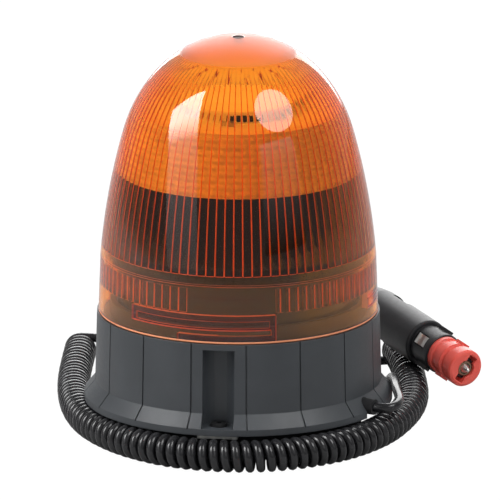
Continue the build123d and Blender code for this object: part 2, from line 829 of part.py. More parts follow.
collar_start = nose_setback + nose_ring_length + 0.1
tip_end = collar_start + 1.4
with BuildPart() as contact_tip:
    add(plug_turned([
        (-tip_reach, 0), (-tip_reach, 0.5), (-tip_reach + 0.4, 0.9), (1.2, tip_cone_radius),
        (collar_start, tip_cone_radius), (collar_start, tip_collar_radius),
        (tip_end, tip_collar_radius), (tip_end, 0),
    ]))

fuse_start = tip_end + 6.5
with BuildPart() as tip_spring:
    coil_rise = fuse_start - tip_end - 2 * spring_wire
    spring_foot = plug_front - plug_out * (fuse_start - spring_wire)
    with BuildLine() as wire:
        Helix(pitch=coil_rise / 4, height=coil_rise, radius=spring_radius, center=spring_foot, direction=plug_out)
    with BuildSketch(Plane(origin=wire.line @ 0, z_dir=wire.line % 0)):
        RegularPolygon(spring_wire, 6)
    sweep(path=wire.line, is_frenet=True)

with BuildPart() as fuse:
    add(plug_turned([
        (fuse_start, 0), (fuse_start, fuse_radius + 0.9), (fuse_start + 5, fuse_radius + 0.9),
        (fuse_start + 5, fuse_radius), (fuse_start + fuse_length - 5, fuse_radius),
        (fuse_start + fuse_length - 5, fuse_radius + 0.9), (fuse_start + fuse_length, fuse_radius + 0.9),
        (fuse_start + fuse_length, 0),
    ]))

barrel_bore = barrel_radius - barrel_wall
with BuildPart() as plug_barrel:
    add(plug_turned([
        (adapter_length, nose_radius + 0.05), (adapter_length, barrel_radius - 0.5),
        (adapter_length + 0.5, barrel_radius), (adapter_length + 3.2, barrel_radius),
        (adapter_length + 3.8, barrel_radius - 0.5), (barrel_end, barrel_radius - 0.5),
        (barrel_end, barrel_bore), (nose_flange_start, barrel_bore), (nose_flange_start, nose_radius + 0.05),
    ]))
    window_start = contact_start - window_margin
    window_length = contact_length + 2 * window_margin
    with BuildSketch(face_plane.offset(-window_start)):
        Rectangle(3 * barrel_radius, contact_width + 2 * window_margin)
    extrude(amount=-window_length, mode=Mode.SUBTRACT)
    # a guide rib beside the windows
    with BuildSketch(face_plane.offset(-adapter_length - 4.5)):
        with Locations((0, barrel_radius), (0, -barrel_radius)):
            Rectangle(3.0, 3.0)
    extrude(amount=-10.0)


def side_contact(sign):
    """A bowed leaf of spring metal that stands out of its window."""
    leaf_thickness = 0.7
    middle = contact_start + contact_length / 2
    crest = barrel_radius + 0.9
    foot_radius = barrel_bore + 0.6
    with BuildPart() as leaf:
        with BuildSketch(profile_plane):
            with BuildLine():
                outer = ThreePointArc(
                    (contact_start, sign * foot_radius), (middle, sign * crest),
                    (contact_start + contact_length, sign * foot_radius),
                )
                inner = ThreePointArc(
                    (contact_start, sign * (foot_radius - leaf_thickness)),
                    (middle, sign * (crest - leaf_thickness)),
                    (contact_start + contact_length, sign * (foot_radius - leaf_thickness)),
                )
                Line(outer @ 0, inner @ 0)
                Line(outer @ 1, inner @ 1)
            make_face()
        extrude(amount=contact_width / 2, both=True)
    return leaf.part


with BuildPart() as contact_near:
    add(side_contact(1))

with BuildPart() as contact_far:
    add(side_contact(-1))

body_bore = barrel_radius - 0.5 + 0.05
with BuildPart() as plug_body:
    add(plug_turned([
        (body_start, body_bore), (body_start, body_radius - 1.0), (body_start + 0.3, body_radius - 0.3),
        (body_start + 1.0, body_radius), (body_end - 14, body_radius), (body_end - 6, body_radius - 1.0),
        (body_end - 2, body_radius - 2.6), (body_end, body_radius - 5.0),
        (body_end, 0), (body_end - 5, 0), (body_end - 12, body_radius - body_wall),
        (barrel_end, body_radius - body_wall), (barrel_end, body_bore),
    ]))
    with BuildSketch(face_plane.offset(-pocket_start)):
        with Locations((0, body_radius), (0, -body_radius)):
            Rectangle(pocket_width, 2 * pocket_depth)
    extrude(amount=-pocket_length, mode=Mode.SUBTRACT)

boot_end = body_end + plug_boot_length
boot_root_radius = 6.2
boot_tip_radius = 4.0
rib_count = 7
rib_pitch = (plug_boot_length - 5.0) / rib_count
boot_outline = [(body_end, 0), (body_end, boot_root_radius + 0.6), (body_end + 3.0, boot_root_radius + 0.6)]
for i in range(rib_count):
    start = body_end + 3.0 + rib_pitch * i
    crest = boot_root_radius - (boot_root_radius - boot_tip_radius) * i / (rib_count - 1)
    boot_outline += [(start, crest - 0.9), (start + 0.45 * rib_pitch, crest - 0.9),
                     (start + 0.45 * rib_pitch, crest), (start + rib_pitch, crest)]
boot_outline += [(boot_end, boot_tip_radius - 0.6), (boot_end, 0)]

with BuildPart() as plug_boot:
    add(plug_turned(boot_outline))

# Cord outside the lamp: two plain leads and the curly part as one tube of its outer diameter
lead_end = plug_front - plug_out * boot_end
lead_straight = plug_front - plug_out * (boot_end + 8.0)

with BuildPart() as cord_lead_base:
    add(cord_tube([tuple(inner_start)] + base_lead_route, cord_radius))

with BuildPart() as cord_coil:
    add(cord_tube(coil_route, coil_radius))

with BuildPart() as cord_lead_plug:
    add(cord_tube(plug_lead_route + [tuple(lead_straight), tuple(lead_end)], cord_radius))

pieces = {
    "magnet_boot": magnet_boot,
    "magnet_ring": magnet_ring,
    "pole_plate": pole_plate,
    "base_housing": base_housing,
    "base_screws": base_screws,
    "lens_seal": lens_seal,
    "lens_dome": lens_dome,
    "pedestal": pedestal,
    "pedestal_screws": pedestal_screws,
    "driver_board": driver_board,
    "board_screws": board_screws,
    "capacitors": capacitors,
    "board_chips": board_chips,
    "terminal_block": terminal_block,
    "led_board": led_board,
    "leds": leds,
    "ring_lens": ring_lens,
    "engine_cap": engine_cap,
    "heat_sink": heat_sink,
    "vent_liner": vent_liner,
    "cap_screws": cap_screws,
    "cord_grommet": cord_grommet,
    "cord_tail": cord_tail,
    "adapter_sleeve": adapter_sleeve,
    "plug_nose": plug_nose,
    "nose_ring": nose_ring,
    "contact_tip": contact_tip,
    "tip_spring": tip_spring,
    "fuse": fuse,
    "plug_barrel": plug_barrel,
    "contact_near": contact_near,
    "contact_far": contact_far,
    "plug_body": plug_body,
    "plug_boot": plug_boot,
    "cord_lead_base": cord_lead_base,
    "cord_coil": cord_coil,
    "cord_lead_plug": cord_lead_plug,
}
for label, piece in pieces.items():
    piece.part.label = label
    export_step(piece.part, f"parts/{label}.step")
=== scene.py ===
from math import cos, radians, sin

import bmesh
import bpy
import numpy as np
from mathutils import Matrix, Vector


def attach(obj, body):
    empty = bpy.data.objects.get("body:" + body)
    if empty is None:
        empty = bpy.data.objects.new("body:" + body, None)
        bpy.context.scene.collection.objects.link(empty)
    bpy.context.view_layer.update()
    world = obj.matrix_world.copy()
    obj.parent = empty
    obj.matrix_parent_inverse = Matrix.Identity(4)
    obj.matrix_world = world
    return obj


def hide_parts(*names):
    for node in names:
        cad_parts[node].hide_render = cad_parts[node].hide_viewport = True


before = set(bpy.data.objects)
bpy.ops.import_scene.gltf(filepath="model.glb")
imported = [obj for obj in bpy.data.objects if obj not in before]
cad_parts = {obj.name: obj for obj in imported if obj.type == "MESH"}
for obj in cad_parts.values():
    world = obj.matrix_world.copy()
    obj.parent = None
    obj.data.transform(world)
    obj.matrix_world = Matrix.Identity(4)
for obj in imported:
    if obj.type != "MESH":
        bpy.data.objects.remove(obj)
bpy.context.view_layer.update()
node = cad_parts
scene = bpy.context.scene
scene.view_settings.view_transform = "Standard"

# Camera. It looks down at 15 degrees from 8 degrees to the right of the lamp's front recess, from
# far off, so that the lip and the lens rim show as nearly the same ellipse.
view_azimuth = radians(8)
view_height = radians(15)
view_distance = 12.0
view_target = Vector((0.0063, 0.0009, 0.1008))
view_back = Vector(
    (cos(view_height) * sin(view_azimuth), -cos(view_height) * cos(view_azimuth), sin(view_height))
)
camera_data = bpy.data.cameras.new("camera")
camera_data.sensor_width = 36
camera_data.lens = 1587
camera_data.clip_start = 5
camera_data.clip_end = 40
camera = bpy.data.objects.new("camera", camera_data)
camera.location = view_target + view_distance * view_back
camera.rotation_euler = view_back.to_track_quat("Z", "Y").to_euler()
scene.collection.objects.link(camera)
scene.camera = camera

# Magnet foot. A ferrite ring magnet sits in a moulded rubber boot, under a zinc plated steel
# pole plate whose three ears take the base screws.


class Shade:
    """One output of a shader node. Sums and products of it add Math nodes."""

    def __init__(self, tree, socket=None):
        self.tree = tree
        self.socket = socket

    def node(self, kind, settings=None, inputs=None, output=0):
        """Adds a node: its settings first, then the values or links of its sockets."""
        made = self.tree.nodes.new(kind)
        for name, value in (settings or {}).items():
            if name == "stops":
                stops = made.color_ramp.elements
                while len(stops) < len(value):
                    stops.new(1.0)
                for stop, (place, colour) in zip(stops, value):
                    stop.position = place
                    stop.color = (*colour, 1)
            else:
                setattr(made, name, value)
        for name, value in (inputs or {}).items():
            if isinstance(value, Shade):
                self.tree.links.new(value.socket, made.inputs[name])
            else:
                made.inputs[name].default_value = value
        return Shade(self.tree, made.outputs[output])

    def math(self, operation, *terms):
        return self.node("ShaderNodeMath", {"operation": operation}, dict(enumerate(terms)))

    def __add__(self, other):
        return self.math("ADD", self, other)

    __radd__ = __add__

    def __sub__(self, other):
        return self.math("SUBTRACT", self, other)

    def __rsub__(self, other):
        return self.math("SUBTRACT", other, self)

    def __mul__(self, other):
        return self.math("MULTIPLY", self, other)

    __rmul__ = __mul__


class Finish(Shade):
    """A material: plain numbers sit on the shader's own sockets, and put() links a pattern to one."""

    def __init__(self, name, **plain):
        self.material = bpy.data.materials.new(name)
        self.material.use_nodes = True
        super().__init__(self.material.node_tree)
        self.shader = self.tree.nodes["Principled BSDF"]
        for socket, value in plain.items():
            place = self.shader.inputs[socket.replace("_", " ")]
            place.default_value = (*value, 1) if isinstance(value, tuple) else value
        self.here = self.node("ShaderNodeTexCoord", output="Object")

    def put(self, socket, shade):
        self.tree.links.new(shade.socket, self.shader.inputs[socket])

    def noise(self, scale, detail=4.0, stretch=None):
        """Noise on the piece's own metres, at a scale of cells per metre."""
        at = self.here
        if stretch:
            at = self.node("ShaderNodeMapping", inputs={"Vector": self.here, "Scale": stretch})
        return self.node("ShaderNodeTexNoise", inputs={"Vector": at, "Scale": scale, "Detail": detail})

    def ramp(self, factor, *stops):
        return self.node("ShaderNodeValToRGB", {"stops": stops}, {"Fac": factor})

    def span(self, factor, low, high):
        """A number that runs from low to high as the factor runs from 0 to 1."""
        return factor * (high - low) + low

    def bump(self, height, distance, normal=None):
        inputs = {"Height": height, "Distance": distance}
        if normal:
            inputs["Normal"] = normal
        self.put("Normal", self.node("ShaderNodeBump", inputs=inputs))

    def soft_edges(self, radius):
        """Normals that round the piece's edges."""
        return self.node("ShaderNodeBevel", {"samples": 4}, {"Radius": radius})

    def give_way(self, factor, other):
        """Shows another shader in place of the finish's own where the factor is one."""
        mixed = self.tree.nodes.new("ShaderNodeMixShader")
        self.tree.links.new(factor.socket, mixed.inputs[0])
        self.tree.links.new(self.shader.outputs[0], mixed.inputs[1])
        self.tree.links.new(other.socket, mixed.inputs[2])
        self.tree.links.new(mixed.outputs[0], self.tree.nodes["Material Output"].inputs["Surface"])


def dress(finish, *names):
    """Gives CAD nodes a finish."""
    for name in names:
        for place in node[name].material_slots:
            place.material = finish.material


boot_rubber = Finish("boot_rubber", Roughness=0.6, Specular_IOR_Level=0.35)
boot_rubber.put("Base Color", boot_rubber.ramp(
    boot_rubber.noise(90), (0.3, (0.012, 0.012, 0.013)), (0.75, (0.024, 0.024, 0.026))))
boot_rubber.put("Roughness", boot_rubber.span(boot_rubber.noise(300), 0.45, 0.75))
boot_rubber.bump(boot_rubber.noise(2500), 0.00004, normal=boot_rubber.soft_edges(0.0005))
dress(boot_rubber, "magnet_boot", "cord_grommet", "plug_boot")

ferrite = Finish("ferrite", Metallic=0.2)
ferrite.put("Base Color", ferrite.ramp(
    ferrite.noise(400), (0.3, (0.035, 0.035, 0.04)), (0.8, (0.085, 0.085, 0.09))))
ferrite.put("Roughness", ferrite.span(ferrite.noise(700), 0.5, 0.8))
ferrite.bump(ferrite.noise(1800), 0.00006)
dress(ferrite, "magnet_ring")

zinc = Finish("zinc_plate", Metallic=1.0)
zinc.put("Base Color", zinc.ramp(
    zinc.noise(260), (0.25, (0.42, 0.42, 0.41)), (0.8, (0.66, 0.66, 0.63))))
zinc.put("Roughness", zinc.span(zinc.noise(900), 0.22, 0.42))
zinc.bump(zinc.noise(1500, stretch=(1, 1, 6)), 0.00002, normal=zinc.soft_edges(0.0003))
dress(zinc, "pole_plate", "pedestal_screws", "board_screws", "cap_screws")

# Base housing. One black moulding with a fine spark-eroded texture. Black screws hold it to the
# foot, and a soft rubber seal lies in the groove of its top.
housing = Finish("base_moulding", Specular_IOR_Level=0.5)
housing.put("Base Color", housing.ramp(
    housing.noise(40), (0.3, (0.031, 0.035, 0.040)), (0.75, (0.042, 0.047, 0.053))))
housing.put("Roughness", housing.span(housing.noise(600), 0.38, 0.52))
housing.bump(housing.noise(3200, detail=2), 0.00005, normal=housing.soft_edges(0.0006))
dress(housing, "base_housing")

black_screw = Finish("black_screw", Metallic=0.8)
black_screw.put("Base Color", black_screw.ramp(
    black_screw.noise(400), (0.3, (0.02, 0.02, 0.021)), (0.8, (0.05, 0.05, 0.052))))
black_screw.put("Roughness", black_screw.span(black_screw.noise(900), 0.3, 0.5))
dress(black_screw, "base_screws")

seal = Finish("seal_rubber")
seal.put("Base Color", seal.ramp(
    seal.noise(120), (0.3, (0.02, 0.02, 0.02)), (0.8, (0.04, 0.04, 0.04))))
seal.put("Roughness", seal.span(seal.noise(500), 0.5, 0.7))
dress(seal, "lens_seal")

# Pedestal. A tall polished black moulding that carries the light engine on its deck and hides the
# electronics inside.
pedestal_gloss = Finish("pedestal_gloss", Specular_IOR_Level=0.5)
pedestal_gloss.put("Base Color", pedestal_gloss.ramp(
    pedestal_gloss.noise(60), (0.3, (0.008, 0.008, 0.009)), (0.8, (0.014, 0.014, 0.015))))
pedestal_gloss.put("Roughness", pedestal_gloss.span(pedestal_gloss.noise(150), 0.1, 0.2))
dress(pedestal_gloss, "pedestal")

# Electronics. The driver board hangs under the pedestal's deck with its parts, and the cord's
# inner end comes up to the terminal block.
board_green = Finish("board_green", Specular_IOR_Level=0.5)
tracks = board_green.node(
    "ShaderNodeTexVoronoi", {"distance": "MANHATTAN", "feature": "DISTANCE_TO_EDGE"},
    {"Vector": board_green.here, "Scale": 260.0})
board_green.put("Base Color", board_green.ramp(
    tracks, (0.04, (0.03, 0.22, 0.09)), (0.07, (0.012, 0.11, 0.045))))
board_green.put("Roughness", board_green.span(board_green.noise(300), 0.25, 0.4))
dress(board_green, "driver_board")

sleeve_grey = Finish("capacitor_sleeve", Metallic=0.3)
sleeve_grey.put("Base Color", sleeve_grey.ramp(
    sleeve_grey.noise(200), (0.3, (0.06, 0.07, 0.11)), (0.8, (0.12, 0.13, 0.18))))
sleeve_grey.put("Roughness", sleeve_grey.span(sleeve_grey.noise(500), 0.25, 0.45))
dress(sleeve_grey, "capacitors")

epoxy_and_vent_shade = Finish("chip_epoxy")
epoxy_and_vent_shade.put("Base Color", epoxy_and_vent_shade.ramp(
    epoxy_and_vent_shade.noise(900), (0.3, (0.012, 0.012, 0.012)), (0.8, (0.03, 0.03, 0.03))))
epoxy_and_vent_shade.put("Roughness", epoxy_and_vent_shade.span(epoxy_and_vent_shade.noise(1200), 0.45, 0.7))
dress(epoxy_and_vent_shade, "board_chips")

terminal_green = Finish("terminal_moulding")
terminal_green.put("Base Color", terminal_green.ramp(
    terminal_green.noise(150), (0.3, (0.03, 0.22, 0.09)), (0.8, (0.05, 0.3, 0.13))))
terminal_green.put("Roughness", terminal_green.span(terminal_green.noise(600), 0.25, 0.4))
dress(terminal_green, "terminal_block")

# Light engine. A white board with a ring of diodes sits inside a clear ring lens. A cast finned
# drum stands on the board and carries a white cap, whose crown has a row of vents; the black ring
# inside the crown behind them is painted shade, standing in for the shade in the vents.
white_board = Finish("white_board", Specular_IOR_Level=0.5)
white_board.put("Base Color", white_board.ramp(
    white_board.noise(80), (0.3, (0.78, 0.78, 0.75)), (0.8, (0.86, 0.86, 0.83))))
white_board.put("Roughness", white_board.span(white_board.noise(300), 0.3, 0.45))
dress(white_board, "led_board", "engine_cap")

phosphor = Finish("diode_phosphor")
phosphor.put("Base Color", phosphor.ramp(
    phosphor.noise(700), (0.3, (0.75, 0.5, 0.06)), (0.8, (0.85, 0.65, 0.12))))
phosphor.put("Roughness", phosphor.span(phosphor.noise(900), 0.2, 0.35))
dress(phosphor, "leds")

sink_cast = Finish("sink_casting", Metallic=0.3)
sink_cast.put("Base Color", sink_cast.ramp(
    sink_cast.noise(500), (0.3, (0.58, 0.57, 0.55)), (0.8, (0.70, 0.69, 0.67))))
sink_cast.put("Roughness", sink_cast.span(sink_cast.noise(900), 0.35, 0.55))
sink_cast.bump(sink_cast.noise(1600), 0.00005)
dress(sink_cast, "heat_sink")
# the black ring inside the crown is painted shade: it stands in for the shade inside the vents
dress(epoxy_and_vent_shade, "vent_liner")


def ray(shade, kind):
    """One when the light path is of this kind."""
    return shade.node("ShaderNodeLightPath", output=kind)


def see_through(finish, tint):
    """Clear plastic that bends light, but lets the lamps' light pass with only its tint."""
    open_way = finish.node("ShaderNodeBsdfTransparent", inputs={"Color": (*tint, 1)})
    finish.give_way(ray(finish, "Is Shadow Ray"), open_way)


ring_clear = Finish("ring_clear", Base_Color=(1.0, 0.98, 0.95), Transmission_Weight=0.2, IOR=1.49)
ring_clear.put("Roughness", ring_clear.span(ring_clear.noise(60), 0.12, 0.3))
steps = ring_clear.node(
    "ShaderNodeTexWave", {"bands_direction": "Z"}, {"Vector": ring_clear.here, "Scale": 90.0})
facets = ring_clear.node("ShaderNodeTexVoronoi", inputs={"Vector": ring_clear.here, "Scale": 220.0})
ring_clear.bump(steps * 0.4 + facets, 0.0012)
see_through(ring_clear, (0.9, 0.86, 0.75))
dress(ring_clear, "ring_lens")

# Lens. One amber polycarbonate moulding. The outside is polished; the bore carries upright flutes that
# run out below the crown, a bead by the shoulder, finer flutes under it and the bayonet rails.
lens_rim = 0.0682
rim_radius = 0.0762
shoulder = (0.0751, 0.0313)
arc_radii = (0.370, 0.082)
arc_leans = (radians(4.85), radians(15.7), radians(41.4))
lens_wall = 0.0023
pane_height = 0.0009
flutes = 90
flute_foot = 0.0366
flute_round = 0.0022
flute_fade = (0.128, 0.138)
groove_share = 0.05
pane_flat = 0.85
pane_crown = 0.6
band = (0.0163, 0.0296)
band_depth = 0.0004
coarse_turns = (-34, -14)
plain_turns = (-34, 24)
bead = (0.0310, 0.0320)
bead_depth = 0.0008
lug_middle = 10.5
lug_arc = 22.0
lug_clearance = 0.6
rail_stop = 2.0
rail_radius = 0.0707
rail_end = radians(-90 + lug_middle + lug_arc / 2 + lug_clearance + rail_stop)
rail_low = (0.0, 0.0040)
rail_high = (0.0068, 0.0150)
rail_pocket = (0.0078, 0.0116)
pocket_depth = 0.0012
low_arc = radians(42.5)
high_arc = radians(66.8)
stop_arc = radians(rail_stop)
pocket_start = 1.3 * stop_arc
rim_round = 0.0004
gate_radius = 0.0034
gate_depth = 0.0006
gate_draft = 0.0001
satin_crown = (0.1422, 0.1445)
satin_roughness = 0.4


def off(centre, radius, lean):
    """The point at a radius from a centre, at a lean above the horizontal."""
    return centre[0] + radius * cos(lean), centre[1] + radius * sin(lean)


# each arc starts where the last one ends, with the same lean, so the outline has no corner
first_centre = off(shoulder, -arc_radii[0], arc_leans[0])
second_centre = off(first_centre, arc_radii[0] - arc_radii[1], arc_leans[1])
crown_radius = second_centre[0] / cos(arc_leans[2]) + arc_radii[1]
crown_centre = (0.0, second_centre[1] + (arc_radii[1] - crown_radius) * sin(arc_leans[2]))
dome_arcs = [
    (first_centre, arc_radii[0], arc_leans[0]),
    (second_centre, arc_radii[1], arc_leans[1]),
    (crown_centre, crown_radius, arc_leans[2]),
]


def dome_radius(height, inset):
    """Radius at a height: the arc's centre plus the root of its radius squared less the rise squared."""
    out = np.interp(height, (0, shoulder[1]), (rim_radius, shoulder[0])) - inset
    for (centre_r, centre_h), radius, lean in dome_arcs:
        root = np.sqrt(np.maximum((radius - inset) ** 2 - (height - centre_h) ** 2, 0))
        out = np.where(height >= centre_h + (radius - inset) * sin(lean), centre_r + root, out)
    return out


def ease(value, low, high):
    """A smooth step from 0 at low to 1 at high: three t squared less two t cubed."""
    t = np.clip((value - low) / (high - low), 0, 1)
    return t * t * (3 - 2 * t)


def inside(value, span):
    """One between the ends of a span, nought outside it."""
    return ((value > span[0]) & (value < span[1])).astype(float)


def bore_radius(height, angle):
    """The bore: the outline less the wall, less each feature's depth where its mask is one."""
    share = angle * flutes / (2 * np.pi) % 1
    from_groove = np.minimum(share, 1 - share)
    pane = 1 - np.exp(-(from_groove / groove_share) ** 2)
    crowned = pane * (pane_flat + pane_crown * from_groove * (1 - from_groove))
    fade = ease(height, *flute_fade)
    rise = np.clip((height - flute_foot) / flute_round, 0, 1)
    depth = pane_height * (crowned * (1 - fade) + fade) * np.sqrt(1 - (1 - rise) ** 2)
    # the band under the bead is fine, apart from a plain part in front with coarse flutes in its left
    turn = (np.degrees(angle) + 90 + 180) % 360 - 180
    fine = np.abs(np.sin(2 * np.pi * share))
    coarse = pane * inside(turn, coarse_turns)
    front = inside(turn, plain_turns) > 0
    depth = depth + band_depth * inside(height, band) * np.where(front, coarse, fine)
    depth = depth + bead_depth * inside(height, bead)
    wall = dome_radius(height, lens_wall)
    back = (rail_end - angle) % (2 * np.pi / 3)
    on_rail = inside(height, rail_low) * (back < low_arc) + inside(height, rail_high) * (back < high_arc)
    on_rail = on_rail + inside(height, (rail_low[1], rail_high[0])) * (back < stop_arc)
    pocket = inside(height, rail_pocket) * (back > pocket_start) * (back < high_arc - stop_arc)
    return np.where(on_rail > 0, rail_radius + pocket_depth * pocket, wall - depth)


def edged(*heights, hair=0.00004):
    """Each height twice, a hair below and a hair above, for a step in the bore."""
    return [h + side * hair for h in heights for side in (-1, 1)]


def skin(name, grid, finishes, slots, gap, corner=35):
    """A mesh from rows by columns of points, with a quad between each four; the gap row is left open."""
    rows, columns = grid.shape[:2]
    index = np.arange(rows * columns).reshape(rows, columns)
    index = np.vstack([np.hstack([index, index[:, :1]]), np.append(index[0], index[0, 0])])
    quads = np.stack([index[:-1, :-1], index[:-1, 1:], index[1:, 1:], index[1:, :-1]], axis=-1)
    quads, slots = np.delete(quads, gap, axis=0), np.delete(slots, gap, axis=0)
    mesh = bpy.data.meshes.new(name)
    mesh.from_pydata(grid.reshape(-1, 3).tolist(), [], quads.reshape(-1, 4).tolist())
    mesh.polygons.foreach_set("material_index", slots.ravel().tolist())
    shape = bmesh.new()
    shape.from_mesh(mesh)
    bmesh.ops.remove_doubles(shape, verts=shape.verts, dist=1e-7)
    shape.to_mesh(mesh)
    shape.free()
    mesh.shade_smooth()
    mesh.set_sharp_from_angle(angle=radians(corner))
    for finish in finishes:
        mesh.materials.append(finish.material)
    piece = bpy.data.objects.new(name, mesh)
    scene.collection.objects.link(piece)
    return piece


def standing(grid, steep_across=0.4, steep_up=1.2):
    """True for each quad that stands off the wall: its radius changes by more than a share of its width
    or of its height, at both of its edges."""
    ring = np.concatenate([grid, grid[:, :1]], axis=1)
    radius = np.hypot(ring[..., 0], ring[..., 1])
    across = np.abs(np.diff(radius, axis=1)) > steep_across * np.linalg.norm(np.diff(ring, axis=1), axis=2)
    up = np.abs(np.diff(radius, axis=0)) > steep_up * np.abs(np.diff(ring[..., 2], axis=0))
    return (across[:-1] & across[1:]) | (up[:, :-1] & up[:, 1:])


def ring_row(radius, height, angle):
    """A row of points at one height: the radius times the angle's cosine and sine."""
    return np.stack([radius * np.cos(angle), radius * np.sin(angle), height + 0 * angle], axis=-1)


# polycarbonate takes blue in its first millimetre and green more slowly, so thick paths turn red
amber = Finish("amber_lens", Base_Color=(1.0, 0.97, 0.93), Transmission_Weight=1.0, IOR=1.58)
height_up = amber.node("ShaderNodeSeparateXYZ", inputs={"Vector": amber.here}, output="Z")
satin = amber.node("ShaderNodeMapRange", {"interpolation_type": "SMOOTHSTEP"}, {
    "Value": height_up, "From Min": lens_rim + satin_crown[0], "From Max": lens_rim + satin_crown[1],
    "To Max": satin_roughness})
amber.put("Roughness", amber.span(amber.noise(80), 0.0, 0.03) + satin)
see_through(amber, (0.95, 0.95, 0.95))
amber_depth = amber.node(
    "ShaderNodeVolumeAbsorption", inputs={"Color": (0.988, 0.785, 0.22, 1), "Density": 850.0})
amber.tree.links.new(amber_depth.socket, amber.tree.nodes["Material Output"].inputs["Volume"])

flute_parts = np.array([-0.32, -0.16, -0.08, -0.05, -0.025, 0, 0.025, 0.05, 0.08, 0.16, 0.32, 0.5])
lens_angles = ((np.arange(flutes)[:, None] + flute_parts) * (2 * np.pi / flutes)).ravel()
rail_cuts = [rail_end - arc for arc in (0, stop_arc, pocket_start, low_arc, high_arc - stop_arc, high_arc)]
cut_gap = 0.0003
cut_angles = [
    cut + third * 2 * np.pi / 3 + side
    for third in range(3) for cut in rail_cuts for side in (-cut_gap, cut_gap)]
lens_angles = np.sort(np.append(lens_angles, cut_angles) % (2 * np.pi))

outer_heights = np.concatenate([
    [rim_round, 0.0012], np.linspace(0.010, shoulder[1], 3), np.linspace(0.0380, 0.1319, 22)])
crown_leans = np.linspace(radians(46), radians(87), 7)
apex = crown_centre[1] + crown_radius
outer_r = np.concatenate([
    [rim_radius - rim_round], dome_radius(outer_heights, 0), crown_radius * np.cos(crown_leans),
    [gate_radius, gate_radius - gate_draft, 0]])
outer_h = np.concatenate([
    [0], outer_heights, crown_centre[1] + crown_radius * np.sin(crown_leans),
    [apex, apex - gate_depth, apex - gate_depth]])
bore_crown = crown_radius - lens_wall - pane_height
bore_leans = np.linspace(radians(90), radians(62), 6)
bore_heights = np.array(
    [0.138, 0.134, 0.130, 0.126, 0.122] + list(np.linspace(0.118, 0.0400, 12))
    + [flute_foot + flute_round * t for t in (1, 0.6, 0.3, 0.1, 0.0)]
    + edged(bead[1], bead[0], band[1])[::-1] + edged(band[0], rail_high[1], rail_pocket[1])[::-1]
    + edged(rail_pocket[0], rail_high[0], rail_low[1])[::-1] + [0.00005])
bore_heights = np.sort(bore_heights)[::-1]
lens_rows = [ring_row(r, h, lens_angles) for r, h in zip(outer_r, outer_h)]
lens_rows += [ring_row(*off(crown_centre, bore_crown, lean), lens_angles) for lean in bore_leans]
lens_rows += [ring_row(bore_radius(h, lens_angles), h, lens_angles) for h in bore_heights]
lens_grid = np.array(lens_rows) + [0, 0, lens_rim]

# the steep sides of the grooves, bead and rails, and the rim's rounded foot outside, are matt from the
# tool;
# their opaque orange is painted light, standing in for the light the amber wall carries and scatters there
# as thin lines
matt_sides_painted_light = Finish("matt_sides_painted_light", Roughness=0.6)
matt_sides_painted_light.put("Base Color", matt_sides_painted_light.ramp(
    matt_sides_painted_light.noise(300), (0.3, (0.68, 0.25, 0.12)), (0.8, (0.84, 0.33, 0.17))))
# the gate's small recess at the apex is painted near black: painted shade, standing in for the shade in the
# hollow
gate_painted_shade = Finish("gate_painted_shade", Roughness=0.5)
gate_painted_shade.put("Base Color", gate_painted_shade.ramp(
    gate_painted_shade.noise(900), (0.3, (0.02, 0.008, 0.004)), (0.8, (0.05, 0.02, 0.01))))
lens_slots = np.zeros(lens_grid.shape[:2], dtype=int)
first_bore = len(lens_rows) - len(bore_heights)
lens_slots[first_bore:-1] = standing(lens_grid[first_bore:])
lens_slots[:2] = 1
lens_slots[len(outer_r) - 3:len(outer_r) - 1] = 2
lens = skin("amber_shell", lens_grid, (amber, matt_sides_painted_light, gate_painted_shade), lens_slots, gap=len(outer_r) - 1)
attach(lens, "dome")
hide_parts("lens_dome")

# Cord. A 5 mm rubber-sheathed cable: a plain lead folds back from the grommet and runs behind the
# plug, the curly part lies round the lamp, and a plain lead goes from its far end to the plug.
cable = 0.005
coil_ring = 0.0065
coil_turns = 93.5
helix_points = 12
grommet_mouth = (0.0794536, -0.0329108, 0.0241)
coil_route = [
    (0.0679, 0.1439, 0.0091), (0.0766, 0.1148, 0.0091), (0.0839, 0.0805, 0.0091),
    (0.0907, 0.0430, 0.0091), (0.0901, 0.0094, 0.0091), (0.0823, -0.0299, 0.0091),
    (0.0614, -0.0658, 0.0091), (0.0256, -0.0892, 0.0091), (-0.0173, -0.0889, 0.0091),
    (-0.0513, -0.0681, 0.0091), (-0.0741, -0.0394, 0.0091), (-0.0870, -0.0091, 0.0091),
    (-0.0955, 0.0290, 0.0091), (-0.1012, 0.0746, 0.0091), (-0.1045, 0.1196, 0.0091),
]
base_lead_route = [
    grommet_mouth, (0.0869, -0.0360, 0.0243), (0.0923, -0.0294, 0.0250), (0.0913, -0.0185, 0.0258),
    (0.0876, -0.0040, 0.0262), (0.0848, 0.0120, 0.0260), (0.0812, 0.0315, 0.0242), (0.0765, 0.0520, 0.0175),
    (0.0730, 0.0730, 0.0095), (0.0655, 0.0920, 0.0047), (0.0557, 0.1090, 0.0029), (0.0495, 0.1259, 0.0026),
    (0.0546, 0.1400, 0.0026),
]
plug_lead_route = [
    (-0.0880, 0.1210, 0.0145), (-0.0700, 0.1270, 0.0080), (-0.0480, 0.1380, 0.0030),
    (-0.0220, 0.1530, 0.0028), (0.0000, 0.1660, 0.0080), (0.0130, 0.1720, 0.0230), (0.0245, 0.1665, 0.0375),
    (0.03186, 0.15714, 0.04130), (0.03686, 0.15097, 0.04034),
]


